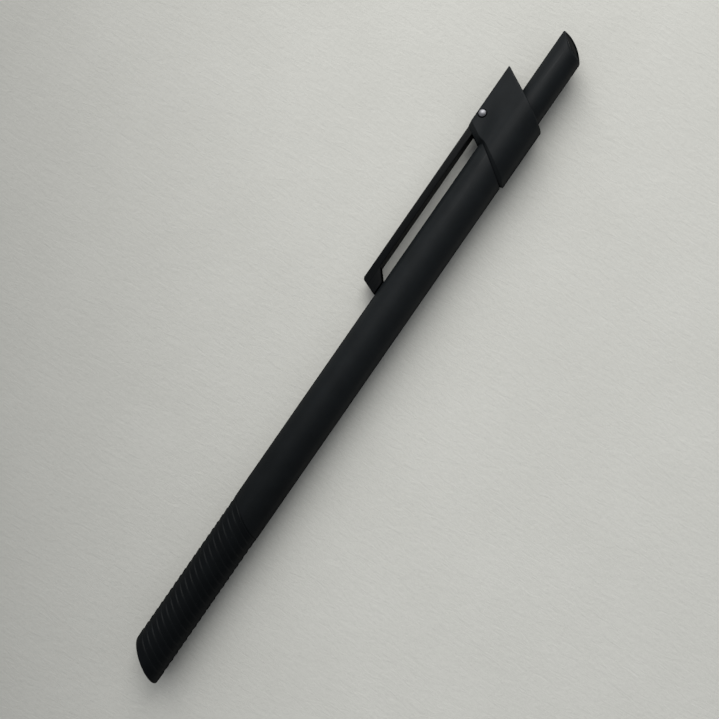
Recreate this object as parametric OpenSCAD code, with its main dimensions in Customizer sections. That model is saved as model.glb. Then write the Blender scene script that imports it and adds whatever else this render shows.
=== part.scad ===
// Retractable ballpoint pen with a slant-cut nose, ribbed grip, hinged clip and click mechanism.
// The pen lies along X: nose tip at the origin, push button towards +X, clip towards +Y.

/* [Outside] */
// Outer radius of the barrel and of the grip section
barrel_r = 4.06; // [4.02:0.02:4.1]
// Angle of the slanted nose
nose_angle = 32.5; // [32:0.5:34]
// Angle of the grip ribs and of the joint behind them
rib_angle = 31; // [30:0.5:32]
// Angle of the collar and of the push button's end
cut_angle = 31; // [30:0.5:32]

/* [Grip] */
// Where the joint between grip section and barrel crosses the axis
joint_x = 36.2; // [36:0.1:36.4]
// Number of oblique ribs
rib_count = 21; // [18:1:21]
// Distance from one rib to the next
rib_pitch = 1.57; // [1.54:0.01:1.58]
// Width of the groove between two ribs
groove_w = 0.34; // [0.2:0.02:0.4]
// Depth of the groove between two ribs
groove_d = 0.16; // [0.1:0.02:0.24]

/* [Collar] */
// Radius of the collar's round part
collar_r = 4.48; // [4.44:0.02:4.52]
// Where the fin's front edge would cross the axis
collar_front_x = 118.7; // [118.6:0.1:118.9]
// Where the seam between barrel and collar crosses the axis
seam_x = 118.4; // [118.3:0.1:118.5]
// Angle of the seam between barrel and collar
seam_angle = 35; // [34:0.5:35]
// Where the collar's rear face crosses the axis
collar_rear_x = 131.5; // [131.3:0.1:131.6]
// Gap between the barrel's end and the collar
seam_gap = 0.06; // [0.04:0.02:0.12]
// Height of the fin's outer face above the axis
fin_y = 7.65; // [7.55:0.05:7.7]
// Half the fin's width at its outer face
fin_half_w = 2.3; // [2.25:0.05:2.4]
// Depth of the hollow in each cheek, near the collar's front
waist_d = 0.45; // [0.3:0.05:0.5]
// Length of the bevel at the front of each cheek
bevel_l = 0.95; // [0.8:0.05:1.1]

/* [Clip] */
// Width of the clip
clip_w = 2.7; // [2.6:0.05:2.75]
// Thickness of the clip's bar
clip_t = 1.45; // [1.35:0.05:1.5]
// Where the clip's foot begins
foot_x = 85.1; // [84:0.1:86]
// Where the hinge pin is along the pen
pin_x = 125.4; // [125.3:0.1:125.6]
// Height of the hinge pin above the axis
pin_y = 6.5; // [6.45:0.05:6.55]
// Radius of the hinge pin's shaft
pin_r = 0.5; // [0.45:0.01:0.52]
// Radius of the hinge pin's heads
pin_head_r = 0.74; // [0.7:0.01:0.76]

/* [Push button] */
// Radius of the push button
button_r = 3.12; // [3.08:0.02:3.14]
// Where the button's rounded end crosses the axis
button_end_x = 146.7; // [146.5:0.1:146.9]
// Radius of the end's curve along the slant
end_long_r = 10; // [9:0.5:12]
// Radius of the end's curve across the slant
end_cross_r = 3.6; // [3.4:0.05:3.8]

/* [Click mechanism] */
// Full travel of the push button
travel = 6.8; // [6.4:0.1:6.8]
// How far the cam turns during a full press
index_deg = 20; // [18:0.5:20]
// Depth of the plunger's teeth
tooth_d = 1.0; // [0.9:0.05:1.05]

/* [Refill] */
// Where the refill's writing point is when the pen is closed
point_x = 3.6; // [3.5:0.1:3.8]
// Length of the refill
refill_length = 106.8; // [106.8:0.1:106.9]
// Radius of the refill's tube
tube_r = 1.575; // [1.55:0.005:1.58]
// Radius of the writing ball
ball_r = 0.5; // [0.35:0.05:0.5]
// Radius of the return spring's wire
wire_r = 0.17; // [0.12:0.01:0.18]
// Turns of the return spring
spring_turns = 12; // [10:1:13]

/* [View] */
// Node to draw, or all

/* [Hidden] */
fine = 96;
reach = 12;
running = 0.05;
seat = 0.02;
nose_x = barrel_r * tan(nose_angle);
barrel_bore_r = 3.4;
socket_r = 3.3;
connector_x0 = 25.6;
connector_x1 = 52;
connector_bore_r = 2.65;
spring_room_r = 2.75;
bush_x1 = 7.4;
tip_r = 1.15;
bush_bore_r = tip_r + 0.1;
spigot_x0 = 106;
spigot_bore_r = 2.95;
chamber_x = 120.4;
chamber_r = button_r + 0.06;
guide_x0 = 101.5;
guide_r = 2.48;
lip_x = 119;
plunger_r = 2.0;
plunger_bore_r = 1.26;
stop_r = 2.05;
cam_rib_r = 2.42;
cam_shaft_r = 1.2;
teeth = 8;
tooth_step = 360 / teeth;
crown_x = 113.1;
valley_x = crown_x + tooth_d;
slope = tooth_d / (tooth_step / 2);
stop_x = valley_x - index_deg * slope - travel + 1.3;
button_x0 = 127.6;
pocket_x = button_end_x - 3.5;
tip_x = button_end_x + 0.8;
foot_y = barrel_r + 0.05;
chamfer_d = 0.24;
chamfer_x = collar_front_x + 0.5;
slot_half_w = clip_w / 2 + 0.07;
slot_y = 4.15;
slot_x1 = 130.5;
bar_y = fin_y - clip_t;
refill_x1 = point_x + refill_length;
tip_x1 = 14.5;
holder_x1 = 17.5;
wing_x = 25.2;
wing_r = 2.4;
tube_x1 = 108.3;
tube_bore_r = 1.05;
ink_r = tube_bore_r - 0.01;
ink_x1 = 84;
grease_x1 = 87.5;

// Round bar or cone along X.
module rod(x0, x1, r, r_end = -1) {
    translate([x0, 0, 0])
        rotate([0, 90, 0])
            cylinder(h = x1 - x0, r1 = r, r2 = r_end < 0 ? r : r_end, $fn = fine);
}

// Everything on the button side of a plane that crosses the axis at x and leans back towards the clip.
module beyond(x, angle) {
    translate([x, 0, 0])
        rotate([0, 0, -angle])
            translate([0, -150, -20])
                cube([300, 300, 40]);
}

// Straight rib that stands out of the axis towards +Y, from radius r0 to r1.
module radial_rib(x0, x1, r0, r1, w) {
    translate([x0, r0, -w / 2])
        cube([x1 - x0, r1 - r0, w]);
}

// Turns its children about the pen's axis.
module about_axis(angle) {
    rotate([angle, 0, 0])
        children();
}

// Prism that stands out of the axis towards +Y, drawn as (x, z) corners, from radius r0 to r1.
module radial_prism(corners, r0, r1) {
    translate([0, r1, 0])
        rotate([90, 0, 0])
            linear_extrude(height = r1 - r0)
                polygon(corners);
}

// Coil of round wire about Z, with closed end turns.
module coil(r, wire, height, turns, steps) {
    sides = 8;
    total = turns * steps;
    closed = steps;
    pitch_end = 2.1 * wire;
    rise = height - 2 * wire;
    free = rise - 2 * pitch_end;
    function level(i) = wire
        + (i < closed ? pitch_end * i / closed
        : i > total - closed ? rise - pitch_end * (total - i) / closed
        : pitch_end + free * (i - closed) / (total - 2 * closed));
    points = [
        for (i = [0:total])
            for (k = [0:sides - 1])
                let (a = 360 * i / steps, b = 360 * k / sides, q = r + wire * cos(b))
                    [q * cos(a), q * sin(a), level(i) + wire * sin(b)]
    ];
    walls = [
        for (i = [0:total - 1])
            for (k = [0:sides - 1])
                let (n = (k + 1) % sides)
                    [i * sides + k, (i + 1) * sides + k, (i + 1) * sides + n, i * sides + n]
    ];
    ends = [
        [for (k = [0:sides - 1]) k],
        [for (k = [0:sides - 1]) total * sides + sides - 1 - k]
    ];
    polyhedron(points = points, faces = concat(walls, ends), convexity = 10);
}

// Nose and ribbed grip in one piece, open at the nose for the bush and at the back for the connector.
module grip_section() {
    color([0.07, 0.08, 0.085])
        difference() {
            intersection() {
                rod(0, 60, barrel_r);
                beyond(nose_x, nose_angle);
            }
            beyond(joint_x, rib_angle);
            grip_grooves();
            rod(-1, 5.4, 2.04);
            rod(5.36, connector_x0, spring_room_r + 0.05);
            rod(connector_x0 - 0.1, 60, socket_r);
        }
}

// Shallow oblique grooves between the ribs.
module grip_grooves() {
    difference() {
        for (i = [0:rib_count - 1])
            translate([joint_x - groove_w / cos(rib_angle) - i * rib_pitch, 0, 0])
                rotate([0, 0, -rib_angle])
                    translate([0, -reach, -reach])
                        cube([groove_w + (i == 0 ? 1 : 0), 2 * reach, 2 * reach]);
        rod(-10, 60, barrel_r - groove_d);
    }
}

// Bush that guides the refill's tip, with a flange for the return spring.
module nose_bush() {
    color([0.1, 0.1, 0.11])
        difference() {
            union() {
                intersection() {
                    rod(0, 6, 2.0);
                    beyond(nose_x + 0.3, nose_angle);
                }
                rod(5.42, bush_x1, spring_room_r);
            }
            rod(-1, 10, bush_bore_r);
            rod(6.5, 10, bush_bore_r, 3.2);
        }
}

// Tube fixed in the barrel that the grip section is pushed on to.
module front_connector() {
    color([0.16, 0.16, 0.17])
        difference() {
            union() {
                rod(connector_x0, joint_x + 3.2, socket_r - running);
                rod(joint_x + 2.8, connector_x1, barrel_bore_r - seat);
            }
            rod(connector_x0 - 1, connector_x1 + 1, connector_bore_r);
            rod(connector_x0 - 0.5, connector_x0 + 0.5, 3.1, 2.6);
        }
}

// Plain tube, cut parallel to the ribs at the front and to the collar at the back.
module barrel() {
    color([0.09, 0.1, 0.1])
        difference() {
            intersection() {
                rod(30, 125, barrel_r);
                beyond(joint_x + 0.01, rib_angle);
            }
            beyond(seam_x - seam_gap, seam_angle);
            rod(29, 126, barrel_bore_r);
        }
}

// Slant-cut ring with a forked fin for the clip, and a spigot that goes into the barrel.
module collar() {
    color([0.09, 0.1, 0.1])
        difference() {
            union() {
                rod(spigot_x0, collar_front_x + 2, barrel_bore_r - seat);
                intersection() {
                    rod(110, 145, collar_r - chamfer_d);
                    beyond(seam_x, seam_angle);
                }
                intersection() {
                    rod(110, 145, collar_r);
                    beyond(chamfer_x, cut_angle);
                }
                difference() {
                    union() {
                        intersection() {
                            difference() {
                                collar_cheeks();
                                cheek_hollows();
                            }
                            beyond(collar_front_x, cut_angle);
                        }
                        cheek_bevels();
                    }
                    barrel_room();
                }
            }
            beyond(collar_rear_x, cut_angle);
            rod(spigot_x0 - 1, chamber_x + 1, spigot_bore_r);
            rod(chamber_x, 150, chamber_r);
            translate([100, slot_y, -slot_half_w])
                cube([slot_x1 - 100, 10, 2 * slot_half_w]);
            translate([pin_x, pin_y, -5])
                cylinder(h = 10, r = pin_r + 0.01, $fn = fine);
            for (side = [-1, 1])
                translate([pin_x, pin_y, side * 3.7])
                    cylinder(h = 3, r = pin_head_r + 0.04, center = true, $fn = fine);
        }
}

// Two flat cheeks that rise from the ring and close in towards the fin's outer face.
module collar_cheeks() {
    translate([110, 0, 0])
        rotate([90, 0, 90])
            linear_extrude(height = 35)
                polygon([
                    [1.2, 4.16],
                    [fin_y, fin_half_w],
                    [fin_y, -fin_half_w],
                    [1.2, -4.16]
                ]);
}

// Shallow round hollows where the cheeks meet the ring, deepest at the collar's front face.
// The cheeks' bevelled leading edges, one on either side of the clip.
module cheek_bevels() {
    for (side = [0, 1])
        mirror([0, 0, side])
            intersection() {
                translate([collar_front_x, 0, 0])
                    rotate([0, 0, -cut_angle])
                        translate([0, 12, 0])
                            rotate([90, 0, 0])
                                linear_extrude(height = 12)
                                    polygon([
                                        [-bevel_l, slot_half_w],
                                        [0.3, slot_half_w],
                                        [0.3, fin_half_w],
                                        [0, fin_half_w],
                                        [-bevel_l, slot_half_w + 0.12]
                                    ]);
                translate([110, 1, 0])
                    cube([20, fin_y - 1, 5]);
            }
}

// Room for the barrel's end under the cheeks.
module barrel_room() {
    difference() {
        rod(105, 130, barrel_r + seam_gap);
        beyond(seam_x, seam_angle);
    }
}

module cheek_hollows() {
    for (side = [-1, 1])
        translate([collar_front_x - 1, 4.9, side * (3.12 + reach - waist_d)])
            sphere(r = reach, $fn = fine);
}

// Fixed sleeve with four stop ribs; its back end is closed down to a lip that holds the plunger.
module guide_sleeve() {
    color([0.75, 0.74, 0.7])
        difference() {
            union() {
                rod(guide_x0, spigot_x0 - seat, barrel_bore_r - seat);
                rod(guide_x0 + 1, chamber_x, spigot_bore_r - seat);
            }
            difference() {
                rod(guide_x0 - 1, lip_x, guide_r);
                for (i = [0:3])
                    about_axis(45 + 90 * i)
                        stop_rib();
            }
            rod(lip_x - 1, chamber_x + 1, plunger_r + running);
        }
}

// Stop rib with a slanted front end that the cam's ribs come to rest on.
module stop_rib() {
    difference() {
        radial_rib(stop_x, lip_x + 1, stop_r, guide_r + 0.3, 0.62);
        radial_prism([[stop_x - 1, -0.4], [stop_x - 1, 1], [stop_x + 0.5, 0.4], [stop_x - 0.02, -0.4]], 1, 4);
    }
}

// Side profile of the clip: bar, wedge foot at the front and a thinner tail over the spring.
module clip_profile() {
    polygon([
        [foot_x, foot_y],
        [foot_x + 2.7, foot_y],
        [foot_x + 4.75, bar_y - 0.22],
        [foot_x + 5.2, bar_y],
        [pin_x - 2.2, bar_y],
        [pin_x - 1.7, bar_y - 0.5],
        [pin_x - 0.9, 5.45],
        [pin_x + 0.9, 5.45],
        [pin_x + 1.6, 6.02],
        [slot_x1 - 0.6, 6.02],
        [slot_x1 - 0.4, 6.25],
        [slot_x1 - 0.4, fin_y - 0.2],
        [slot_x1 - 0.6, fin_y],
        [foot_x + 1.9, fin_y],
        [foot_x + 1.53, fin_y - 0.1],
        [foot_x + 1.27, fin_y - 0.35]
    ]);
}

// Straight clip with a solid foot, pierced for the hinge pin, its outer edges slightly broken.
module clip() {
    color([0.06, 0.065, 0.07])
        difference() {
            intersection() {
                translate([0, 0, -clip_w / 2])
                    linear_extrude(height = clip_w)
                        clip_profile();
                translate([80, 0, 0])
                    rotate([90, 0, 90])
                        linear_extrude(height = 60)
                            polygon([
                                [3, -clip_w / 2],
                                [fin_y - 0.15, -clip_w / 2],
                                [fin_y, -clip_w / 2 + 0.15],
                                [fin_y, clip_w / 2 - 0.15],
                                [fin_y - 0.15, clip_w / 2],
                                [3, clip_w / 2]
                            ]);
            }
            translate([pin_x, pin_y, -5])
                cylinder(h = 10, r = pin_r + 0.03, $fn = fine);
        }
}

// Rivet pin with a low domed head in each cheek.
module clip_pin() {
    color([0.75, 0.76, 0.78])
        translate([pin_x, pin_y, 0]) {
            cylinder(h = 4.6, r = pin_r, center = true, $fn = fine);
            for (side = [-1, 1])
                intersection() {
                    translate([0, 0, side * 2.5])
                        cylinder(h = 0.58, r = pin_head_r, center = true, $fn = fine);
                    translate([0, 0, side * (2.79 - 1.9)])
                        sphere(r = 1.9, $fn = fine);
                }
        }
}

// Coil spring between the floor of the collar's slot and the clip's tail.
module clip_spring() {
    color([0.7, 0.7, 0.72])
        translate([pin_x + 3, slot_y + 0.01, 0])
            rotate([-90, 0, 0])
                coil(0.8, 0.12, 6.02 - slot_y - 0.02, 6, 20);
}

// What lies outside the button's slanted end, which is curved along the slant and more tightly across it.
module past_the_end() {
    difference() {
        beyond(pocket_x + 0.6, cut_angle);
        translate([button_end_x, 0, 0])
            rotate([0, 0, -cut_angle])
                translate([-end_long_r, 0, 0])
                    rotate_extrude($fn = fine)
                        union() {
                            translate([end_long_r - end_cross_r, 0])
                                circle(r = end_cross_r, $fn = fine);
                            translate([0, -end_cross_r + 0.1])
                                square([end_long_r - end_cross_r, 2 * end_cross_r - 0.2]);
                        }
    }
    rod(tip_x, tip_x + 10, 5);
}

// Hollow button with a rounded slanted end and a pocket for the end piece.
module push_button() {
    color([0.08, 0.09, 0.09])
        difference() {
            rod(button_x0, 155, button_r);
            past_the_end();
            rod(button_x0 - 1, 134, plunger_r + seat);
            rod(133.5, 141, 1.8);
            intersection() {
                rod(140, 155, button_r - 0.27);
                beyond(pocket_x, cut_angle);
            }
        }
}

// Glossy end piece set in the button's rim and flush with it.
module button_dome() {
    color([0.05, 0.055, 0.06])
        difference() {
            intersection() {
                rod(140, 155, button_r - 0.3);
                beyond(pocket_x + 0.02, cut_angle);
            }
            past_the_end();
        }
}

// Thrust tube fixed in the button: teeth at its front end and four keys that run in the guide sleeve.
module plunger() {
    color([0.2, 0.32, 0.5])
        difference() {
            union() {
                rod(crown_x, 134, plunger_r);
                intersection() {
                    for (i = [0:3])
                        about_axis(90 * i)
                            radial_rib(crown_x + 1.6, lip_x - 0.1, plunger_r - 0.3, 3, 1.5);
                    rod(crown_x, lip_x, cam_rib_r);
                }
            }
            rod(crown_x - 1, 126, plunger_bore_r);
            for (i = [0:teeth - 1])
                about_axis(index_deg / 2 + i * tooth_step)
                    radial_prism([
                        [valley_x, 0],
                        [crown_x - 0.4, 0.92 + 0.37],
                        [crown_x - 0.4, -0.92 - 0.37]
                    ], 0.6, 4);
        }
}

// Cam with four pointed ribs; its shaft turns in the plunger's bore and its front end bears on the refill.
module rotating_cam() {
    color([0.72, 0.66, 0.5])
        union() {
            rod(refill_x1 + 0.02, refill_x1 + 1.2, 1.9);
            rod(refill_x1 + 1, 117, cam_shaft_r);
            intersection() {
                for (i = [0:3])
                    about_axis(90 * i - index_deg / 2)
                        radial_prism([
                            [refill_x1 + 0.5, -0.5],
                            [refill_x1 + 0.5, 0.5],
                            [valley_x - 1.44, 0.5],
                            [valley_x - 1.02, 0],
                            [valley_x - 1.44, -0.5]
                        ], 0.9, 3);
                rod(refill_x1, 117, cam_rib_r);
            }
        }
}

// Coil spring from the bush's flange to the wings of the refill tube.
module return_spring() {
    color([0.7, 0.71, 0.73])
        translate([bush_x1 + 0.01, 0, 0])
            rotate([0, 90, 0])
                coil(2.12, wire_r, wing_x - bush_x1 - 0.02, spring_turns, 36);
}

// Plastic tube with four small wings that hold the return spring.
module refill_tube() {
    color([0.9, 0.9, 0.86])
        difference() {
            union() {
                rod(holder_x1 + seat, tube_x1, tube_r);
                for (i = [0:3])
                    about_axis(45 + 90 * i)
                        radial_rib(wing_x, wing_x + 0.9, 1.2, wing_r, 0.6);
            }
            rod(holder_x1 - 1, tube_x1 + 1, tube_bore_r);
        }
}

// Vented plug in the back end of the refill tube.
module refill_end_plug() {
    color([0.85, 0.85, 0.82])
        difference() {
            union() {
                rod(104.5, tube_x1 + 0.5, tube_bore_r - 0.01);
                rod(tube_x1 + seat, refill_x1, tube_r);
            }
            rod(104, refill_x1 + 1, 0.4);
        }
}

// Ink in the tube.
module ink_column() {
    color([0.02, 0.03, 0.25])
        rod(21.05, ink_x1, ink_r);
}

// Grease that follows the ink.
module grease_plug() {
    color([0.85, 0.75, 0.35])
        rod(ink_x1 + 0.01, grease_x1, ink_r);
}

// Adaptor between the writing tip and the tube.
module refill_tip_holder() {
    color([0.85, 0.85, 0.82])
        difference() {
            union() {
                rod(tip_x1 + seat, holder_x1, tube_r - 0.02);
                rod(holder_x1 - 0.5, 21, tube_bore_r - 0.01);
            }
            rod(tip_x1 - 1, 16.5, 0.82);
            rod(16, 22, 0.35);
        }
}

// Metal cone that holds the ball, with a tail in the adaptor.
module refill_tip() {
    color([0.78, 0.75, 0.66])
        difference() {
            union() {
                rod(point_x + 0.32, point_x + 3.3, 0.6, tip_r);
                rod(point_x + 3.3, tip_x1, tip_r);
                rod(tip_x1 - 0.5, 16.4, 0.8);
            }
            translate([point_x + ball_r, 0, 0])
                sphere(r = ball_r + 0.02, $fn = fine);
            rod(point_x + ball_r, 17, 0.22);
        }
}

// Writing ball.
module tip_ball() {
    color([0.6, 0.6, 0.62])
        translate([point_x + ball_r, 0, 0])
            sphere(r = ball_r, $fn = fine);
}

grip_section();
nose_bush();
front_connector();
barrel();
collar();
guide_sleeve();
clip();
clip_pin();
clip_spring();
push_button();
button_dome();
plunger();
rotating_cam();
return_spring();
refill_tube();
refill_end_plug();
ink_column();
grease_plug();
refill_tip_holder();
refill_tip();
tip_ball();
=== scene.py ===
"""Looks of the retractable ballpoint pen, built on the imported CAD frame.

Shapes are worked out in millimetres and become metres when a mesh is made.
"""

import math

import bmesh
import bpy
import numpy as np
from mathutils import Matrix, Vector
from mathutils.geometry import tessellate_polygon


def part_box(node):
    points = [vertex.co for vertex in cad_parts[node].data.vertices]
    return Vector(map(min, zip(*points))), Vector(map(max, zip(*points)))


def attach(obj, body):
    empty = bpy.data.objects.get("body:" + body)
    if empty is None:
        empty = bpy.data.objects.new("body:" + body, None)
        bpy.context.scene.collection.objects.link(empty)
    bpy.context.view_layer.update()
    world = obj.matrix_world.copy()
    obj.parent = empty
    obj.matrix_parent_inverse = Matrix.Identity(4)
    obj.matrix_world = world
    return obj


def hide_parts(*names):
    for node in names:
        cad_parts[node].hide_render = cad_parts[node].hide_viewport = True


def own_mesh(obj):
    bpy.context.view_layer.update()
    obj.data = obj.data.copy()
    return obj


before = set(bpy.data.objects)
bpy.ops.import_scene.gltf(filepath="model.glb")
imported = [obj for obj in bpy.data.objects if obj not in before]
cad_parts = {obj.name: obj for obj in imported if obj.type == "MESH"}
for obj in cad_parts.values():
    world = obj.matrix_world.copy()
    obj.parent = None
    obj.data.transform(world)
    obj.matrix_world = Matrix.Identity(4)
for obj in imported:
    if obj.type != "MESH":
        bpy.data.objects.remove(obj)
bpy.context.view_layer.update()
MM = 0.001


def tan(degrees):
    return math.tan(math.radians(degrees))


def low(node):
    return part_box(node)[0] / MM


def high(node):
    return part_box(node)[1] / MM


# Lean of the collar's rear and of the button's end, in degrees.
CUT = 31

# Slopes of the slanted planes: x grows by this much for each mm towards the clip.
NOSE_T = tan(32.5)
RIB_T = tan(31)
CUT_T = tan(CUT)
SEAM_T = tan(35)

# Sizes read back from the CAD nodes.
BARREL_R = high("barrel").y
JOINT_X = low("barrel").x + BARREL_R * RIB_T - 0.01
BARREL_END_X = high("barrel").x - BARREL_R * SEAM_T
COLLAR_R = -low("collar").y
FIN_Y = high("collar").y
REAR_X = high("collar").x - FIN_Y * CUT_T
BUTTON_R = high("push_button").y
TIP_X = high("push_button").x
PIN_X = (low("clip_pin").x + high("clip_pin").x) / 2
PIN_Y = (low("clip_pin").y + high("clip_pin").y) / 2
PIN_HEAD_R = high("clip_pin").y - PIN_Y
CLIP_W = high("clip").z - low("clip").z
FOOT_X = low("clip").x
FOOT_Y = low("clip").y
NOSE_X = BARREL_R * NOSE_T

# The barrel's end, the seam behind it and the collar's full outline follow closely on each other.
SEAM_X = BARREL_END_X + 0.06
FRONT_X = SEAM_X + 0.28

# Segments round the pen on the pieces that the eye sees whole.
FINE = 256


# ---------------------------------------------------------------- shaping helpers


def fillet(points, radii, seg=5, closed=True):
    """A path with its corners rounded. Points are (u, v, ...), and what follows v is kept from the corner."""
    out = []
    n = len(points)
    for i, (p, r) in enumerate(zip(points, radii)):
        inner = closed or 0 < i < n - 1
        if not inner or r <= 0:
            out.append(tuple(p))
            continue
        a = np.array(points[i - 1][:2], float)
        b = np.array(p[:2], float)
        c = np.array(points[(i + 1) % n][:2], float)
        u = (a - b) / np.linalg.norm(a - b)
        w = (c - b) / np.linalg.norm(c - b)
        half = math.acos(max(-1, min(1, float(u @ w)))) / 2
        reach = r / math.tan(half)
        limit = 0.49 * min(np.linalg.norm(a - b), np.linalg.norm(c - b))
        if reach > limit:
            reach = limit
            r = reach * math.tan(half)
        centre = b + (u + w) / np.linalg.norm(u + w) * (r / math.sin(half))
        start = b + u * reach - centre
        end = b + w * reach - centre
        turn = math.atan2(start[0] * end[1] - start[1] * end[0], float(start @ end))
        for k in range(seg + 1):
            cos, sin = math.cos(turn * k / seg), math.sin(turn * k / seg)
            q = centre + np.array([start[0] * cos - start[1] * sin, start[0] * sin + start[1] * cos])
            out.append((float(q[0]), float(q[1])) + tuple(p[2:]))
    return out


def split_long(path, longest=3.0, loop=True):
    """Extra points on the long stretches of a path, so that slopes blend evenly."""
    out = []
    n = len(path)
    for i, a in enumerate(path):
        out.append(a)
        if i == n - 1 and not loop:
            break
        b = path[(i + 1) % n]
        parts = int(math.hypot(a[0] - b[0], a[1] - b[1]) / longest)
        for k in range(1, parts + 1):
            f = k / (parts + 1)
            out.append(tuple(a[m] + (b[m] - a[m]) * f for m in range(len(a))))
    return out


def inset(loop, d):
    """A closed loop, anticlockwise, moved inwards by d."""
    p = np.array(loop, float)
    before = p - np.roll(p, 1, axis=0)
    after = np.roll(p, -1, axis=0) - p
    before /= np.linalg.norm(before, axis=1)[:, None]
    after /= np.linalg.norm(after, axis=1)[:, None]
    inward = np.stack([-before[:, 1] - after[:, 1], before[:, 0] + after[:, 0]], 1)
    inward /= np.maximum((inward * inward).sum(1), 0.3)[:, None] / 2
    return p + inward * d


class Shell:
    """Collects rings of points and the faces between them."""

    def __init__(self):
        self.verts = []
        self.faces = []

    def ring(self, points):
        start = len(self.verts)
        self.verts.extend(tuple(float(c) for c in p) for p in points)
        return list(range(start, len(self.verts)))

    def bridge(self, a, b):
        if len(a) == 1 or len(b) == 1:
            tip, loop = (a[0], b) if len(a) == 1 else (b[0], a)
            for i in range(len(loop)):
                self.faces.append((tip, loop[i], loop[(i + 1) % len(loop)]))
            return
        n = len(a)
        for i in range(n):
            j = (i + 1) % n
            self.faces.append((a[i], a[j], b[j], b[i]))

    def chain(self, rings, loop=False):
        for a, b in zip(rings, rings[1:]):
            self.bridge(a, b)
        if loop:
            self.bridge(rings[-1], rings[0])

    def cap(self, outer, *holes):
        loops = [outer] + list(holes)
        flat = [i for ring in loops for i in ring]
        lines = [[Vector(self.verts[i]) for i in ring] for ring in loops]
        for a, b, c in tessellate_polygon(lines):
            self.faces.append((flat[a], flat[b], flat[c]))

    def mesh(self, name):
        mesh = bpy.data.meshes.new(name)
        mesh.from_pydata([(x * MM, y * MM, z * MM) for x, y, z in self.verts], [], self.faces)
        work = bmesh.new()
        work.from_mesh(mesh)
        bmesh.ops.remove_doubles(work, verts=work.verts, dist=1e-8)
        bmesh.ops.recalc_face_normals(work, faces=work.faces)
        work.to_mesh(mesh)
        work.free()
        return mesh


def circle_ring(x, r, t, n):
    """Ring of radius r round the axis on a plane that crosses the axis at x with slope t."""
    if r <= 0:
        return [(x, 0, 0)]
    out = []
    for k in range(n):
        a = 2 * math.pi * k / n
        y, z = r * math.cos(a), r * math.sin(a)
        out.append((x + t * y, y, z))
    return out


def pin_ring(z, r, n=64):
    """Ring of radius r round the hinge pin's axis at height z."""
    if r <= 1e-6:
        return [(PIN_X, PIN_Y, z)]
    turns = np.linspace(0, 2 * math.pi, n + 1)[:-1]
    return [(PIN_X + r * math.cos(a), PIN_Y + r * math.sin(a), z) for a in turns]


def quarter(n=6):
    """Points (cos, sin) of a quarter turn."""
    return [(math.cos(a), math.sin(a)) for a in np.linspace(0, math.pi / 2, n)]


def lathe(shell, profile, n=128, loop=True):
    """Turns a profile of (x, radius, slope) round the axis."""
    rings = [shell.ring(circle_ring(x, r, t, n)) for x, r, t in profile]
    shell.chain(rings, loop)
    return rings


def smooth(mesh, sharp=32):
    mesh.shade_smooth()
    mesh.set_sharp_from_angle(angle=math.radians(sharp))


def build(name, shell, body, material, node, sharp=32):
    """Turns a shell into a piece that rides on a body and stands for a CAD node."""
    mesh = shell.mesh(name)
    mesh.materials.append(material)
    smooth(mesh, sharp)
    piece = bpy.data.objects.new(name, mesh)
    bpy.context.scene.collection.objects.link(piece)
    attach(piece, body)
    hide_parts(node)
    return piece


def cutter(loops):
    """A throwaway solid through the given loops that only serves to cut a piece."""
    shell = Shell()
    rings = [shell.ring(loop) for loop in loops]
    shell.chain(rings)
    shell.cap(rings[0])
    shell.cap(rings[-1])
    thing = bpy.data.objects.new("cutter", shell.mesh("cutter"))
    bpy.context.scene.collection.objects.link(thing)
    return thing


def cut(piece, *cutters):
    """Takes the cutters out of a piece and deletes them."""
    for thing in cutters:
        mod = piece.modifiers.new("cut", "BOOLEAN")
        mod.operation = "DIFFERENCE"
        mod.solver = "EXACT"
        mod.object = thing
    bpy.context.view_layer.update()
    graph = bpy.context.evaluated_depsgraph_get()
    result = bpy.data.meshes.new_from_object(piece.evaluated_get(graph))
    piece.modifiers.clear()
    piece.data = result
    for thing in cutters:
        bpy.data.objects.remove(thing, do_unlink=True)
    smooth(result)


# ---------------------------------------------------------------- materials

# Sockets of a Mix node that is set to colours.
SHARE, FIRST, SECOND, MIXED = 0, 6, 7, 2


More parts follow.
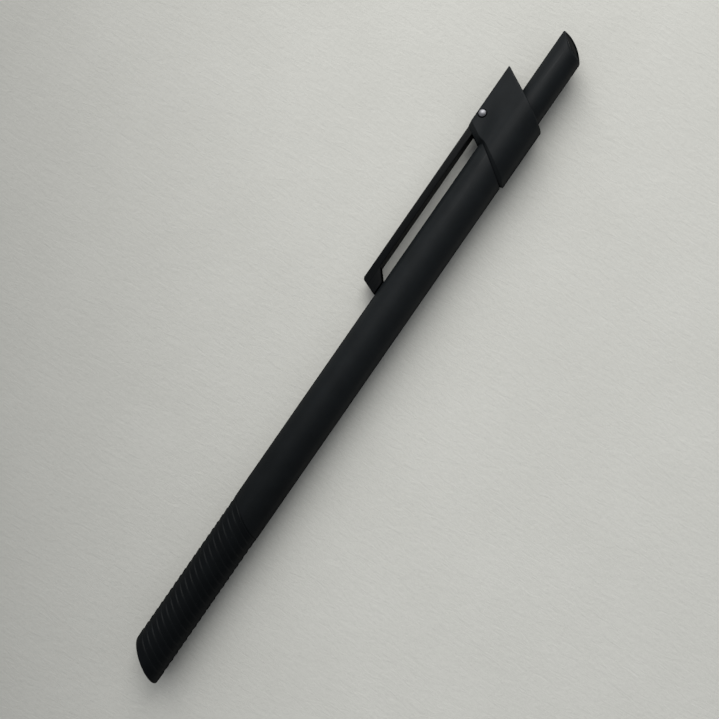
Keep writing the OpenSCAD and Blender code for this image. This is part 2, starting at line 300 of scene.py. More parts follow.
class Graph:
    """Short way to write a material's node tree. A value is a (node, output) pair."""

    def __init__(self, name):
        self.mat = bpy.data.materials.new(name)
        self.mat.use_nodes = True
        self.tree = self.mat.node_tree
        self.tree.nodes.clear()
        self.shader = self.add("ShaderNodeBsdfPrincipled")
        self.coords = self.add("ShaderNodeTexCoord")
        self.link((self.shader, "BSDF"), self.add("ShaderNodeOutputMaterial"), "Surface")

    def add(self, kind, **settings):
        node = self.tree.nodes.new(kind)
        for key, value in settings.items():
            setattr(node, key, value)
        return node

    def link(self, value, node, into):
        source, out = value
        self.tree.links.new(source.outputs[out], node.inputs[into])

    def paint(self, **values):
        """Links values to the shader's inputs, which are given with _ for a space."""
        for key, value in values.items():
            self.link(value, self.shader, key.replace("_", " "))

    def space(self, scale=(1, 1, 1)):
        node = self.add("ShaderNodeMapping")
        node.inputs["Scale"].default_value = scale
        self.link((self.coords, "Object"), node, "Vector")
        return node, "Vector"

    def noise(self, scale, detail=4, rough=0.55, stretch=(1, 1, 1), distort=0.0):
        node = self.add("ShaderNodeTexNoise")
        node.inputs["Scale"].default_value = scale
        node.inputs["Detail"].default_value = detail
        node.inputs["Roughness"].default_value = rough
        node.inputs["Distortion"].default_value = distort
        self.link(self.space(stretch), node, "Vector")
        return node, "Fac"

    def ramp(self, value, stops):
        node = self.add("ShaderNodeValToRGB")
        while len(node.color_ramp.elements) < len(stops):
            node.color_ramp.elements.new(0.5)
        for element, (pos, colour) in zip(node.color_ramp.elements, stops):
            element.position = pos
            element.color = (*colour, 1)
        self.link(value, node, "Fac")
        return node, "Color"

    def span(self, value, from_min=0.0, from_max=1.0, to_min=0.0, to_max=1.0, kind="LINEAR"):
        """Maps a value from one range to another, held at the ends."""
        node = self.add("ShaderNodeMapRange", interpolation_type=kind)
        node.inputs["From Min"].default_value = from_min
        node.inputs["From Max"].default_value = from_max
        node.inputs["To Min"].default_value = to_min
        node.inputs["To Max"].default_value = to_max
        self.link(value, node, "Value")
        return node, "Result"

    def math(self, op, a, b, clamp=False):
        """Arithmetic on two values, either of which may be a plain number."""
        node = self.add("ShaderNodeMath", operation=op, use_clamp=clamp)
        for k, value in enumerate((a, b)):
            if isinstance(value, (int, float)):
                node.inputs[k].default_value = value
            else:
                self.link(value, node, k)
        return node, "Value"

    def mix(self, share, value, colour):
        """Mixes a plain colour into a value by a share."""
        node = self.add("ShaderNodeMix", data_type="RGBA")
        self.link(share, node, SHARE)
        self.link(value, node, FIRST)
        node.inputs[SECOND].default_value = (*colour, 1)
        return node, MIXED

    def multiply(self, a, b):
        """One colour value times another."""
        node = self.add("ShaderNodeMix", data_type="RGBA", blend_type="MULTIPLY")
        node.inputs[SHARE].default_value = 1.0
        self.link(a, node, FIRST)
        self.link(b, node, SECOND)
        return node, MIXED

    def bump(self, height, strength, distance, below=None):
        node = self.add("ShaderNodeBump")
        node.inputs["Strength"].default_value = strength
        node.inputs["Distance"].default_value = distance
        self.link(height, node, "Height")
        if below is not None:
            self.link(below, node, "Normal")
        return node, "Normal"


def scaled(colour, factor, lift=0.0):
    return tuple(min(1, c * factor + lift) for c in colour)


def edge_mask(g, radius, from_turn=0.02, to_turn=0.16):
    """0 on flat surfaces, 1 on sharp outer and inner edges."""
    bevel = g.add("ShaderNodeBevel", samples=6)
    bevel.inputs["Radius"].default_value = radius
    here = g.add("ShaderNodeNewGeometry")
    dot = g.add("ShaderNodeVectorMath", operation="DOT_PRODUCT")
    g.link((bevel, "Normal"), dot, 0)
    g.link((here, "Normal"), dot, 1)
    turn = g.math("SUBTRACT", 1.0, (dot, "Value"))
    return g.span(turn, from_turn, to_turn)


def plastic(
    name,
    colour,
    rough,
    grain=0.1,
    grain_size=0.12,
    wear_and_highlight=0.35,
    edge=(0.00008, 0.02, 0.16),
    scratch=0.15,
    specular=0.3,
    graze=(0.4, 0.8),
    painted_shade=None,
):
    """Moulded plastic: colour drift, fine texture, scratches along the pen, a little dust, and edges painted
    lighter, which stands for wear and, where set strong, for painted highlights along crests.

    The shine fades over the range graze as the surface turns away from the viewer. A last tuple
    (start, end, share) paints shade along the pen: colour and shine grow from that share at x = start to full
    at x = end, in metres.
    """
    g = Graph(name)
    drift = g.noise(260, 3, 0.6)
    base = g.ramp(drift, [(0.3, scaled(colour, 0.86)), (0.7, scaled(colour, 1.14))])
    patch = g.noise(900, 5, 0.7)
    # Edges painted lighter: wear, and where the share is high, painted highlights along crests and chamfers.
    edge_share = g.math("MULTIPLY", edge_mask(g, *edge), patch)
    edge_share = g.math("MULTIPLY", edge_share, wear_and_highlight, clamp=True)
    rubbed_and_lit = g.mix(edge_share, base, scaled(colour, 2.2, 0.012))
    specks = g.add("ShaderNodeTexVoronoi", feature="F1")
    specks.inputs["Scale"].default_value = 620
    g.link(g.space(), specks, "Vector")
    dust = g.ramp((specks, "Distance"), [(0.0, (1, 1, 1)), (0.045, (0, 0, 0))])
    tint = g.mix(g.math("MULTIPLY", dust, 0.05), rubbed_and_lit, (0.55, 0.53, 0.5))

    smear = g.noise(140, 4, 0.6, stretch=(0.25, 1, 1))
    smeared = g.span(smear, 0.3, 0.7, rough - 0.05, rough + 0.05)
    lines = g.noise(2600, 2, 0.5, stretch=(0.035, 1, 1), distort=0.4)
    marks = g.ramp(lines, [(0.62, (0, 0, 0)), (0.7, (1, 1, 1))])
    polish = g.math("MULTIPLY", marks, -0.8 * scratch)
    roughness = g.math("ADD", smeared, polish, clamp=True)

    texture = g.bump(g.noise(1000 / grain_size, 3, 0.6), grain, 0.00002)
    scored = g.bump(marks, scratch, -0.000004, texture)
    surface = g.bump(g.noise(90, 2, 0.5), 0.25, 0.00002, scored)

    facing = g.add("ShaderNodeLayerWeight")
    facing.inputs["Blend"].default_value = 0.5
    shine = g.span((facing, "Facing"), *graze, specular, 0.0)
    # Painted shade: colour and shine are darkened towards lower x, standing in for light falling off there.
    if painted_shade:
        start, end, share = painted_shade
        place = g.add("ShaderNodeSeparateXYZ")
        g.link((g.coords, "Object"), place, "Vector")
        level = g.span((place, "X"), start, end, share, 1.0, "SMOOTHSTEP")
        tint = g.multiply(tint, level)
        shine = g.math("MULTIPLY", shine, level)
    g.paint(Base_Color=tint, Roughness=roughness, Normal=surface, Specular_IOR_Level=shine)
    return g.mat


def soft_plastic(name, colour, rough, milky=0.25):
    """Unpigmented or lightly pigmented plastic that lets some light in."""
    mat = plastic(name, colour, rough, grain=0.06, wear_and_highlight=0.2, scratch=0.1)
    shader = next(n for n in mat.node_tree.nodes if n.type == "BSDF_PRINCIPLED")
    shader.inputs["Subsurface Weight"].default_value = milky
    shader.inputs["Subsurface Scale"].default_value = 0.0006
    return mat


def metal(name, colour, rough, brushed=(1, 1, 1)):
    """Bare metal with turning or drawing marks, slight tarnish and brighter edges."""
    g = Graph(name)
    g.shader.inputs["Metallic"].default_value = 1.0
    base = g.ramp(g.noise(400, 5, 0.65), [(0.3, scaled(colour, 0.8)), (0.65, colour)])
    edge_share = g.math("MULTIPLY", edge_mask(g, 0.00005), 0.3, clamp=True)
    bright = g.mix(edge_share, base, scaled(colour, 1.25, 0.05))
    lines = g.noise(9000, 3, 0.6, stretch=brushed)
    roughness = g.span(lines, to_min=rough * 0.7, to_max=rough * 1.4)
    g.paint(Base_Color=bright, Roughness=roughness, Normal=g.bump(lines, 0.18, 0.000008))
    return g.mat


def paste(name, colour, rough):
    """Thick liquid in a tube: smooth, glossy, with a few slow streaks."""
    g = Graph(name)
    streak = g.noise(180, 4, 0.6, stretch=(0.3, 1, 1), distort=1.5)
    base = g.ramp(streak, [(0.35, scaled(colour, 0.7)), (0.7, scaled(colour, 1.2))])
    roughness = g.span(streak, to_min=rough * 0.6, to_max=rough * 1.5)
    g.paint(Base_Color=base, Roughness=roughness, Normal=g.bump(streak, 0.2, 0.00003))
    return g.mat


SATIN = dict(colour=(0.0066, 0.008, 0.009), rough=0.5, grain=0.12, grain_size=0.1, specular=0.092)
BLACK = plastic("satin_black", **SATIN)
# The barrel's colour and shine are painted darker towards the nose, as shade for the light falling off there.
BARREL = plastic("barrel_black", **SATIN, painted_shade=(0.03, 0.09, 0.62))
# The grip's strong edge lightening paints highlights along the rib crests and the joint's chamfer, as well as
# wear.
GRIP = plastic(
    "grip_black",
    (0.003, 0.0037, 0.0042),
    0.42,
    grain=0.15,
    grain_size=0.08,
    wear_and_highlight=0.9,
    edge=(0.00014, 0.004, 0.04),
    specular=0.045,
)
CLIP = plastic("clip_black", (0.0016, 0.002, 0.0023), 0.3, grain=0.05, specular=0.06)
GLOSS = plastic(
    "dome_black",
    (0.0035, 0.0042, 0.0046),
    0.24,
    grain=0.02,
    grain_size=0.2,
    scratch=0.12,
    specular=0.15,
    graze=(0.3, 0.62),
)
INNER = plastic("inner_black", (0.009, 0.01, 0.0105), 0.55, grain=0.15, specular=0.15)
STEEL = metal("pin_steel", (0.17, 0.17, 0.18), 0.36, brushed=(1, 1, 0.2))
WIRE = metal("spring_wire", (0.45, 0.45, 0.46), 0.22, brushed=(1, 0.2, 0.2))
NICKEL = metal("nickel_silver", (0.56, 0.52, 0.42), 0.2, brushed=(1, 0.03, 0.03))
CARBIDE = metal("carbide", (0.3, 0.3, 0.31), 0.12)
NATURAL = soft_plastic("acetal_natural", (0.62, 0.6, 0.54), 0.42)
CAM = soft_plastic("acetal_cam", (0.58, 0.5, 0.34), 0.4)
BLUE = soft_plastic("acetal_blue", (0.04, 0.1, 0.28), 0.4, milky=0.1)
TUBE = soft_plastic("tube_white", (0.7, 0.71, 0.69), 0.36, milky=0.4)
PLUG = soft_plastic("plug_white", (0.66, 0.66, 0.62), 0.45)
INK = paste("ink_blue", (0.006, 0.012, 0.12), 0.15)
GREASE = paste("grease_amber", (0.55, 0.36, 0.08), 0.2)


# ---------------------------------------------------------------- barrel

BORE_R = 3.4
BREAK = 0.1  # the barrel's broken front edge

corners = [
    (JOINT_X + 0.01, BARREL_R - BREAK, RIB_T),
    (JOINT_X + BREAK, BARREL_R, RIB_T),
    (BARREL_END_X, BARREL_R, SEAM_T),
    (BARREL_END_X, BORE_R, SEAM_T),
    (JOINT_X + 0.01, BORE_R, RIB_T),
]
shell = Shell()
lathe(shell, split_long(fillet(corners, [0.02, 0.06, 0.05, 0.04, 0.04])), FINE)
build("barrel_shell", shell, "pen_body", BARREL, "barrel")


# ---------------------------------------------------------------- ribbed grip section

RIBS = 20
PITCH = 1.57
STEP = 0.14  # height of a saw-tooth rib
CREST = 0.14  # how far the crest stands before the rib's line
ROOT = 0.08  # how far the root lies behind it
NOSE_BORE = 2.04
GRIP_BORE = 2.8
SOCKET_R = 3.3
SOCKET_X = 25.5
SEAT_X = 5.4
GRIP_END = JOINT_X - 0.02

corners = [(NOSE_X, NOSE_BORE, NOSE_T), (NOSE_X, BARREL_R - 0.06, NOSE_T)]
radii = [0.08, 0.16]
for k in reversed(range(1, RIBS + 1)):
    line = JOINT_X - k * PITCH
    corners += [(line - CREST, BARREL_R, RIB_T), (line + ROOT, BARREL_R - STEP, RIB_T)]
    radii += [0.25, 0.03]
corners += [
    (JOINT_X - 0.3, BARREL_R, RIB_T),
    (GRIP_END, BARREL_R - 0.15, RIB_T),
    (GRIP_END, SOCKET_R, RIB_T),
    (SOCKET_X, SOCKET_R, 0),
    (SOCKET_X, GRIP_BORE, 0),
    (SEAT_X, GRIP_BORE, 0),
    (SEAT_X, NOSE_BORE, 0),
]
radii += [0.1, 0.03, 0.03, 0.02, 0.05, 0.02, 0.05]
shell = Shell()
lathe(shell, split_long(fillet(corners, radii, 4)), FINE)
build("grip", shell, "front_section", GRIP, "grip_section")

GUIDE_X = NOSE_X + 0.3
GUIDE_BORE = 1.25
corners = [
    (GUIDE_X, GUIDE_BORE, NOSE_T),
    (GUIDE_X, 2.0, NOSE_T),
    (SEAT_X + 0.02, 2.0, 0),
    (SEAT_X + 0.02, 2.75, 0),
    (SEAT_X + 2, 2.75, 0),
    (SEAT_X + 2, 1.76, 0),
    (SEAT_X + 1.1, GUIDE_BORE, 0),
]
shell = Shell()
lathe(shell, split_long(fillet(corners, [0.1, 0.05, 0.02, 0.08, 0.08, 0.05, 0.1], 4)))
build("nose_guide", shell, "front_section", INNER, "nose_bush")


# ---------------------------------------------------------------- collar

FIN_HALF = 2.3
ROUND = 0.3  # of the rear edge and of the fin's long edges
WAIST = 0.4  # how far the cheeks are drawn in where they meet the ring, at the collar's front
WAIST_Y = 4.7
WAIST_REACH = 2.4
WAIST_LENGTH = 7.5
BEVEL = 1.1  # length of the bevel at the front of each cheek
SLOT_HALF = CLIP_W / 2 + 0.07
SLOT_Y = 4.15
SLOT_END = high("clip").x + 0.4
CUT_FROM = 110  # the slot's cutters start well in front of the cheeks
SPIGOT_X = 106
SPIGOT_R = 3.38
SPIGOT_BORE = 2.95
CHAMBER_X = 120.4  # the bore widens here to take the button
BUTTON_BORE = BUTTON_R + 0.06


def blend(share):
    """Smooth step between 0 and 1."""
    return share * share * (3 - 2 * share)


def collar_outline():
    """Outline as (y, z), anticlockwise seen from the button: fin, flanks tangent to the ring, ring."""
    distance = math.hypot(FIN_Y, FIN_HALF)
    tangent = math.atan2(FIN_HALF, FIN_Y) + math.acos(COLLAR_R / distance)
    ty, tz = COLLAR_R * math.cos(tangent), COLLAR_R * math.sin(tangent)
    corner = fillet([(FIN_Y, 0), (FIN_Y, FIN_HALF), (ty, tz)], [0, ROUND, 0], 6, closed=False)
    half = [(FIN_Y, z) for z in np.linspace(0, corner[1][1], 8)[:-1]]
    half += corner[1:-1]
    y0, z0 = corner[-2]
    half += [(y0 + (ty - y0) * f, z0 + (tz - z0) * f) for f in np.linspace(0, 1, 34)[1:-1]]
    half += [(COLLAR_R * math.cos(a), COLLAR_R * math.sin(a)) for a in np.linspace(tangent, math.pi, 60)]
    return half + [(y, -z) for y, z in reversed(half[1:-1])]


OUTLINE = np.array(collar_outline())


def waisted(s):
    """The outline at station s, drawn in where the fin meets the ring near the collar's front."""
    near = blend(1 - min(1, max(0, (s - FRONT_X) / WAIST_LENGTH)))
    p = OUTLINE.copy()
    bell = np.clip(1 - ((p[:, 0] - WAIST_Y) / WAIST_REACH) ** 2, 0, 1) ** 2
    p[:, 1] -= np.sign(p[:, 1]) * bell * WAIST * near * (np.abs(p[:, 1]) > 1.0)
    return p


def collar_ring(s, d=0.0):
    """The waisted outline at station s, moved inwards by d, on the plane of the collar's cuts."""
    p = waisted(s)
    q = inset(p, d) if d else p
    return [(s + CUT_T * y, y, z) for y, z in q]


def front_edge():
    """The front edge as (y, z): sunk in the barrel's skin along the seam, just over it under the fin."""
    p = waisted(FRONT_X)
    y, z = p[:, 0], p[:, 1]
    skin = BARREL_R + np.interp(y, [2.0, 2.8], [-0.2, 0.04])
    on_barrel = p * (skin / np.hypot(y, z))[:, None]
    on_fin = np.stack([y, np.clip(z, -SLOT_HALF - 0.1, SLOT_HALF + 0.1)], 1)
    share = blend(np.clip((y - 2.2) / 1.9, 0, 1))[:, None]
    edge = on_barrel * (1 - share) + on_fin * share
    lift = np.maximum(1, (BARREL_R + 0.05) / np.hypot(edge[:, 0], edge[:, 1]))
    return edge * np.where(y < 2.8, 1, lift)[:, None]


FRONT_EDGE = front_edge()


def front_ring(u):
    """Ring on the collar's bevelled front; u runs from 0 at the edge to 1 at the full outline."""
    p = waisted(FRONT_X)
    slope = SEAM_T - CUT_T
    edge_x = np.interp(
        FRONT_EDGE[:, 0],
        [-5, 2.9, 3.3, 3.7, 4.1],
        [SEAM_X - 5 * slope, SEAM_X + 2.9 * slope, FRONT_X - 0.23, FRONT_X - 0.6, FRONT_X - BEVEL],
    )
    full_x = FRONT_X + np.interp(p[:, 0], [-4.5, -3.7, 2, 3, 3.7, 4.4], [-0.15, 0.5, 0.52, 0.4, 0.15, 0])
    q = FRONT_EDGE * (1 - u) + p * u
    s = edge_x * (1 - u) + full_x * u
    return [(s[i] + CUT_T * q[i][0], q[i][0], q[i][1]) for i in range(len(q))]


def under_ring():
    """The front edge carried back under the fin to the plane of the seam."""
    radius = np.hypot(FRONT_EDGE[:, 0], FRONT_EDGE[:, 1])
    q = FRONT_EDGE * (np.minimum(radius - 0.03, BARREL_R + 0.03) / radius)[:, None]
    return [(SEAM_X + SEAM_T * y, y, z) for y, z in q]


shell = Shell()
rings = [shell.ring(under_ring())]
for u in (0, 0.03, 0.2, 0.4, 0.6, 0.8, 0.95, 1):
    rings.append(shell.ring(front_ring(u)))
rings.append(shell.ring(collar_ring(FRONT_X + 0.6)))
for s in np.linspace(FRONT_X + 0.8, REAR_X - ROUND, 40)[:-1]:
    rings.append(shell.ring(collar_ring(s)))
for a in np.linspace(math.pi / 2, 0, 7):
    rings.append(shell.ring(collar_ring(REAR_X - ROUND * (1 - math.cos(a)), ROUND * (1 - math.sin(a)))))
shell.chain(rings)
corners = [
    (SEAM_X, SPIGOT_R, SEAM_T),
    (SPIGOT_X, SPIGOT_R, 0),
    (SPIGOT_X, SPIGOT_BORE, 0),
    (CHAMBER_X, SPIGOT_BORE, 0),
    (CHAMBER_X, BUTTON_BORE, 0),
    (REAR_X - 0.12, BUTTON_BORE, CUT_T),
    (REAR_X, BUTTON_BORE + 0.12, CUT_T),
]
spigot = fillet(corners, [0, 0.08, 0.05, 0.02, 0.02, 0.05, 0], 3, closed=False)
inner = lathe(shell, split_long(spigot, loop=False), FINE, loop=False)
shell.cap(rings[0], inner[0])
shell.cap(rings[-1], inner[-1])
collar = build("collar_body", shell, "pen_body", BLACK, "collar", sharp=40)

# The slot flares at the fin's outer face, and a relief keeps the cheeks apart in front of the seam.
flare = [(SLOT_Y, SLOT_HALF), (FIN_Y - 0.1, SLOT_HALF), (FIN_Y + 0.3, SLOT_HALF + 0.4)]
flare += [(y, -z) for y, z in reversed(flare)]
slot = cutter([[(x, y, z) for y, z in flare] for x in (CUT_FROM, SLOT_END)])
back = [(SEAM_X + SEAM_T * y - 0.02, y) for y in (3.4, 4.6)]
side = [(CUT_FROM, 3.4), back[0], back[1], (CUT_FROM, 4.6)]
relief = cutter([[(x, y, z) for x, y in side] for z in (-SLOT_HALF, SLOT_HALF)])

# Seats for the pin's heads with a sloping rim, and the pin's bore between them.
steps = [(-4, PIN_HEAD_R + 0.22), (-2.3, PIN_HEAD_R + 0.22), (-2.08, PIN_HEAD_R + 0.02), (-2.08, 0.51)]
steps += [(-z, r) for z, r in reversed(steps)]
seats = cutter([pin_ring(z, r) for z, r in steps])
cut(collar, slot, relief, seats)


# ---------------------------------------------------------------- clip

BAR_Y = FIN_Y - 1.45
BLOCK_Y = 5.45  # underside of the block round the pin
TAIL_Y = 6.02
HOLE_R = 0.53
EDGE = 0.09  # rounding along the clip's sides

profile = [
    ((FOOT_X, FOOT_Y), 0.06),
    ((FOOT_X + 2.75, FOOT_Y), 0.06),
    ((FOOT_X + 5.1, BAR_Y), 0.25),
    ((PIN_X - 2.2, BAR_Y), 0.3),
    ((PIN_X - 1.7, BAR_Y - 0.5), 0.3),
    ((PIN_X - 0.9, BLOCK_Y), 0.4),
    ((PIN_X + 0.9, BLOCK_Y), 0.4),
    ((PIN_X + 1.6, TAIL_Y), 0.3),
    ((high("clip").x - 0.86, TAIL_Y), 0.2),
    ((high("clip").x, FIN_Y), 0.12),
    ((FOOT_X + 1.38, FIN_Y), 0.8),
]
clip_loop = split_long(fillet([p for p, _ in profile], [r for _, r in profile], 8), 2.0)
half = CLIP_W / 2
rounded = [(-half + EDGE * (1 - c), EDGE * (1 - s)) for c, s in quarter()]
flat = [(z, 0) for z in np.linspace(-half + EDGE, half - EDGE, 5)[1:-1]]
shell = Shell()
rings = []
for z, d in rounded + flat + [(-z, d) for z, d in reversed(rounded)]:
    loop = inset(clip_loop, d) if d else clip_loop
    rings.append(shell.ring([(x, y, z) for x, y in loop]))
shell.chain(rings)
shell.cap(rings[0])
shell.cap(rings[-1])
clip = build("clip_bar", shell, "clip", CLIP, "clip", sharp=40)
cut(clip, cutter([pin_ring(z, HOLE_R, 48) for z in (-3, 3)]))


# ---------------------------------------------------------------- hinge pin

HEAD_BASE = 2.22
HEAD_CROWN = 2.98
DOME_R = 1.6


def domed(r):
    """Height of the head's dome at radius r."""
    return HEAD_CROWN - (DOME_R - math.sqrt(DOME_R * DOME_R - r * r))


# The pin's upper half as (z, radius), mirrored for the lower one.
top = [(HEAD_BASE, 0.5), (HEAD_BASE, PIN_HEAD_R - 0.03), (HEAD_BASE + 0.03, PIN_HEAD_R)]
top.append((domed(PIN_HEAD_R) - 0.04, PIN_HEAD_R))
top += [(domed(PIN_HEAD_R * f), PIN_HEAD_R * f) for f in np.linspace(0.97, 0, 12)]
bottom = [(-z, r) for z, r in reversed(top)]
shell = Shell()
shell.chain([shell.ring(pin_ring(z, r)) for z, r in bottom + top])
build("hinge_pin", shell, "pen_body", STEEL, "clip_pin")


# ---------------------------------------------------------------- push button and its end piece

LONG_R = 10
CROSS_R = 3.6
END_X = TIP_X - 0.8
POCKET_X = END_X - 3.5
LEAN = math.radians(CUT)
BLUNT = 7  # the higher, the sharper the end turns over at the tip
RIM = 0.14  # how far the outer edge lies below the end's surface
RIM_IN = BUTTON_R - 0.25
DOME_EDGE = BUTTON_R - 0.28


def end_x(y, z):
    """The button's slanted end: rounded along the slant, more tightly across it, blunt at the tip."""
    c, s = math.cos(LEAN), math.sin(LEAN)
    span = LONG_R - CROSS_R + math.sqrt(CROSS_R**2 - z * z)
    x = END_X - LONG_R * c + math.sqrt((LONG_R * c) ** 2 - (y * y + LONG_R**2 - 2 * LONG_R * s * y - span**2))
    return -math.log(math.exp(-BLUNT * (x - TIP_X)) + 1) / BLUNT + TIP_X


def end_ring(r, drop=0.0, share=1.0, start=0.0):
    """Ring of radius r below the end's surface by drop, or part of the way to it from a flat start."""
    out = []
    for _, y, z in circle_ring(0, r, 0, FINE):
        out.append((start * (1 - share) + (end_x(y, z) - drop) * share, y, z))
    return out


FRONT_END = low("push_button").x
BLIND_X = 141
LEDGE_X = 134
NECK_R = 1.8
PLUNGER_R = 2.02
FRONT_ROUND = 0.15
bore = [(BLIND_X, 0), (BLIND_X, NECK_R), (LEDGE_X, NECK_R), (LEDGE_X, PLUNGER_R), (FRONT_END, PLUNGER_R)]
front = [(FRONT_END + FRONT_ROUND * (1 - c), BUTTON_R - FRONT_ROUND * (1 - s)) for c, s in quarter(4)[::-1]]
shell = Shell()
rings = [shell.ring(circle_ring(x, r, 0, FINE)) for x, r in bore + front]
rings += [shell.ring(end_ring(BUTTON_R, RIM, f, FRONT_END + 0.2)) for f in np.linspace(0.05, 1, 16)]
rings += [shell.ring(end_ring(BUTTON_R - 0.1 * (1 - c), RIM * (1 - s))) for c, s in quarter()[1:]]
rings += [shell.ring(end_ring(RIM_IN + 0.03 * (1 - s), 0.03 * (1 - c))) for c, s in quarter(3)[::-1]]
rings.append(shell.ring(end_ring(RIM_IN, 0.12)))
rings.append(shell.ring(circle_ring(POCKET_X, RIM_IN, CUT_T, FINE)))
rings.append(shell.ring([(POCKET_X, 0, 0)]))
shell.chain(rings)
build("button_shell", shell, "button", BLACK, "push_button")

seat_x = POCKET_X + 0.02
shell = Shell()
rings = [shell.ring([(seat_x, 0, 0)])]
rings += [shell.ring(circle_ring(seat_x, r, CUT_T, FINE)) for r in (DOME_EDGE * 0.5, DOME_EDGE - 0.05)]
rings.append(shell.ring(end_ring(DOME_EDGE, 0.13)))
rings += [shell.ring(end_ring(DOME_EDGE - 0.07 * (1 - c), 0.07 * (1 - s))) for c, s in quarter(5)[1:]]
rings += [shell.ring(end_ring(r)) for r in np.linspace(DOME_EDGE - 0.07, 0, 24)[1:-1]]
rings.append(shell.ring([(end_x(0, 0), 0, 0)]))
shell.chain(rings)
build("button_end", shell, "button", GLOSS, "button_dome", sharp=50)


# ---------------------------------------------------------------- springs


def coil(name, origin, axis, side, radius, wire, height, turns, body, node, steps=32, sides=12):
    """Compression spring with closed end turns, drawn along axis from origin. wire is the wire's radius."""
    axis, side = Vector(axis), Vector(side)
    third = axis.cross(side)
    total = turns * steps
    pitch_end = 2.1 * wire
    rise = height - 2 * wire
    shell = Shell()
    rings = []
    for i in range(total + 1):
        if i < steps:
            level = wire + pitch_end * i / steps
        elif i > total - steps:
            level = wire + rise - pitch_end * (total - i) / steps
        else:
            level = wire + pitch_end + (rise - 2 * pitch_end) * (i - steps) / (total - 2 * steps)
        a = 2 * math.pi * i / steps
        out = side * math.cos(a) + third * math.sin(a)
        ring = []
        for k in range(sides):
            b = 2 * math.pi * k / sides
            offset = out * (radius + wire * math.cos(b)) + axis * (level + wire * math.sin(b))
            ring.append(Vector(origin) + offset)
        rings.append(shell.ring(ring))
    shell.chain(rings)
    shell.cap(rings[0])
    shell.cap(rings[-1])
    return build(name, shell, body, WIRE, node, sharp=45)


seat = low("return_spring").x
length = high("return_spring").x - seat
spring = coil(
    "spring_main",
    origin=(seat, 0, 0),
    axis=(1, 0, 0),
    side=(0, 1, 0),
    radius=2.12,
    wire=0.17,
    height=length,
    turns=12,
    body="front_section",
    node="return_spring",
)
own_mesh(spring)

seat = low("clip_spring").y
length = high("clip_spring").y - seat
spring = coil(
    "spring_clip",
    origin=(PIN_X + 3, seat, 0),
    axis=(0, 1, 0),
    side=(1, 0, 0),
    radius=0.8,
    wire=0.12,
    height=length,
    turns=6,
    body="pen_body",
    node="clip_spring",
    steps=24,
    sides=10,
)
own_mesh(spring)


# ---------------------------------------------------------------- carried-over CAD nodes

for node, material in {
    "front_connector": INNER,
    "guide_sleeve": NATURAL,
    "plunger": BLUE,
    "rotating_cam": CAM,
    "refill_tube": TUBE,
    "refill_end_plug": PLUG,
    "ink_column": INK,
    "grease_plug": GREASE,
    "refill_tip_holder": PLUG,
    "refill_tip": NICKEL,
    "tip_ball": CARBIDE,
}.items():
    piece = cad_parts[node]
    piece.data.materials.clear()
    piece.data.materials.append(material)


# ---------------------------------------------------------------- stage

# The pen lies rolled about its axis; the camera looks straight down and is turned in the picture's plane.
ROLL = math.radians(14)
TILT = math.radians(55.24)
towards = Vector((0, -math.sin(ROLL), math.cos(ROLL)))
across = Vector((0, math.cos(ROLL), math.sin(ROLL)))
along = Vector((1, 0, 0))
right = along * math.cos(TILT) - across * math.sin(TILT)
up = along * math.sin(TILT) + across * math.cos(TILT)


def paper():
    """Matt paper with fibres, streaked grain, a mottled tone and painted shade: a slow fade that darkens it
    towards one side of the view.
    """
    g = Graph("paper")
    g.shader.inputs["Roughness"].default_value = 0.85
    g.shader.inputs["Specular IOR Level"].default_value = 0.2
    tone = g.ramp(g.noise(60, 4, 0.6), [(0.3, (0.53, 0.525, 0.49)), (0.7, (0.55, 0.545, 0.51))])
    fibre = g.noise(1500, 6, 0.7, distort=0.6)
    speck = g.ramp(fibre, [(0.3, (0.95, 0.95, 0.95)), (0.6, (1, 1, 1))])
    sideways = g.add("ShaderNodeVectorMath", operation="DOT_PRODUCT")
    sideways.inputs[1].default_value = right
    g.link((g.coords, "Object"), sideways, 0)
    # Painted shade: the paper's colour darkens towards the view's left and brightens slightly to its right,
    # standing in for how the light falls.
    painted_side_shade = g.span((sideways, "Value"), -0.09, 0.06, 0.55, 1.04, "SMOOTHSTEP")
    shade = g.multiply(g.multiply(tone, speck), painted_side_shade)
    grain = g.noise(900, 5, 0.65, stretch=(1, 0.22, 1), distort=0.8)
    ridges = g.bump(grain, 0.55, 0.00018)
    weave = g.bump(fibre, 0.35, 0.00012, ridges)
    g.paint(Base_Color=shade, Normal=weave)
    return g.mat


FLOOR_SIZE = 3.0
middle = Vector((0.0738, 0, 0))
centre = middle - towards * (COLLAR_R + 0.02) * MM
corners = [centre + (along * u + across * v) * FLOOR_SIZE for u, v in ((-1, -1), (1, -1), (1, 1), (-1, 1))]
mesh = bpy.data.meshes.new("floor")
mesh.from_pydata(corners, [], [(0, 1, 2, 3)])
mesh.materials.append(paper())
floor = bpy.data.objects.new("floor", mesh)
bpy.context.scene.collection.objects.link(floor)


# ---------------------------------------------------------------- light

LIFT = math.radians(41)
AMBIENT = 0.31


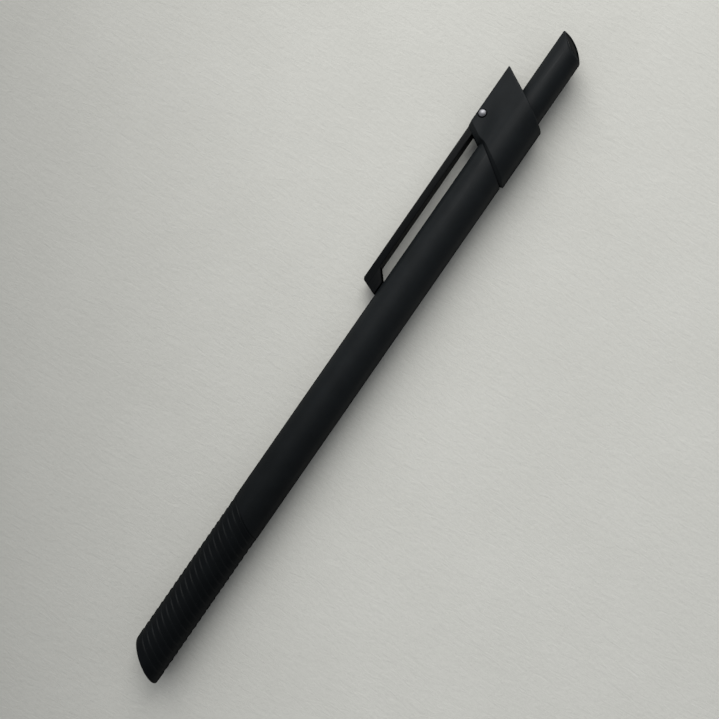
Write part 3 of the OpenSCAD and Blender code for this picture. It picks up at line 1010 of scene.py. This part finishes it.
def window():
    """A wide soft window to one side."""
    data = bpy.data.lights.new("window", "AREA")
    data.shape = "RECTANGLE"
    data.size = 0.75
    data.size_y = 0.55
    data.energy = 7.0
    data.color = (1.0, 0.992, 0.97)
    direction = (up * 0.97 - right * 0.08) * math.cos(LIFT) + towards * math.sin(LIFT)
    lamp = bpy.data.objects.new("window", data)
    lamp.location = middle + direction * 0.85
    lamp.rotation_mode = "QUATERNION"
    lamp.rotation_quaternion = (middle - lamp.location).to_track_quat("-Z", "Y")
    bpy.context.scene.collection.objects.link(lamp)


def room():
    """Soft surroundings: a dim even glow and two brighter walls.

    A wall is full where the cosine to its direction is over within, and gone where it is under beyond.
    """
    world = bpy.data.worlds.new("room")
    world.use_nodes = True
    tree = world.node_tree
    back = tree.nodes["Background"]
    coords = tree.nodes.new("ShaderNodeTexCoord")
    total = None
    walls = [
        (up * 0.85 + towards * 0.5, 0.95, 0.2, 0.3),
        (across * 0.87 + towards * 0.5, 0.95, 0.2, 0.28),
    ]
    for direction, within, beyond, power in walls:
        dot = tree.nodes.new("ShaderNodeVectorMath")
        dot.operation = "DOT_PRODUCT"
        dot.inputs[1].default_value = direction.normalized()
        tree.links.new(coords.outputs["Generated"], dot.inputs[0])
        span = tree.nodes.new("ShaderNodeMapRange")
        span.interpolation_type = "SMOOTHSTEP"
        span.inputs["From Min"].default_value = beyond
        span.inputs["From Max"].default_value = within
        span.inputs["To Max"].default_value = power
        tree.links.new(dot.outputs["Value"], span.inputs["Value"])
        add = tree.nodes.new("ShaderNodeMath")
        add.operation = "ADD"
        if total is None:
            add.inputs[0].default_value = AMBIENT
        else:
            tree.links.new(total, add.inputs[0])
        tree.links.new(span.outputs["Result"], add.inputs[1])
        total = add.outputs["Value"]
    tree.links.new(total, back.inputs["Strength"])
    back.inputs["Color"].default_value = (0.94, 0.97, 1.0, 1)
    return world


window()
bpy.context.scene.world = room()


# ---------------------------------------------------------------- camera

data = bpy.data.cameras.new("view")
data.sensor_width = 36
data.lens = 57.84
camera = bpy.data.objects.new("view", data)
spot = along * 0.07327 - across * 0.00062 + towards * 0.222
turn = Matrix((right, up, towards)).transposed()
camera.matrix_world = Matrix.Translation(spot) @ turn.to_4x4()
bpy.context.scene.collection.objects.link(camera)
bpy.context.scene.camera = camera
bpy.context.scene.view_settings.view_transform = "Standard"
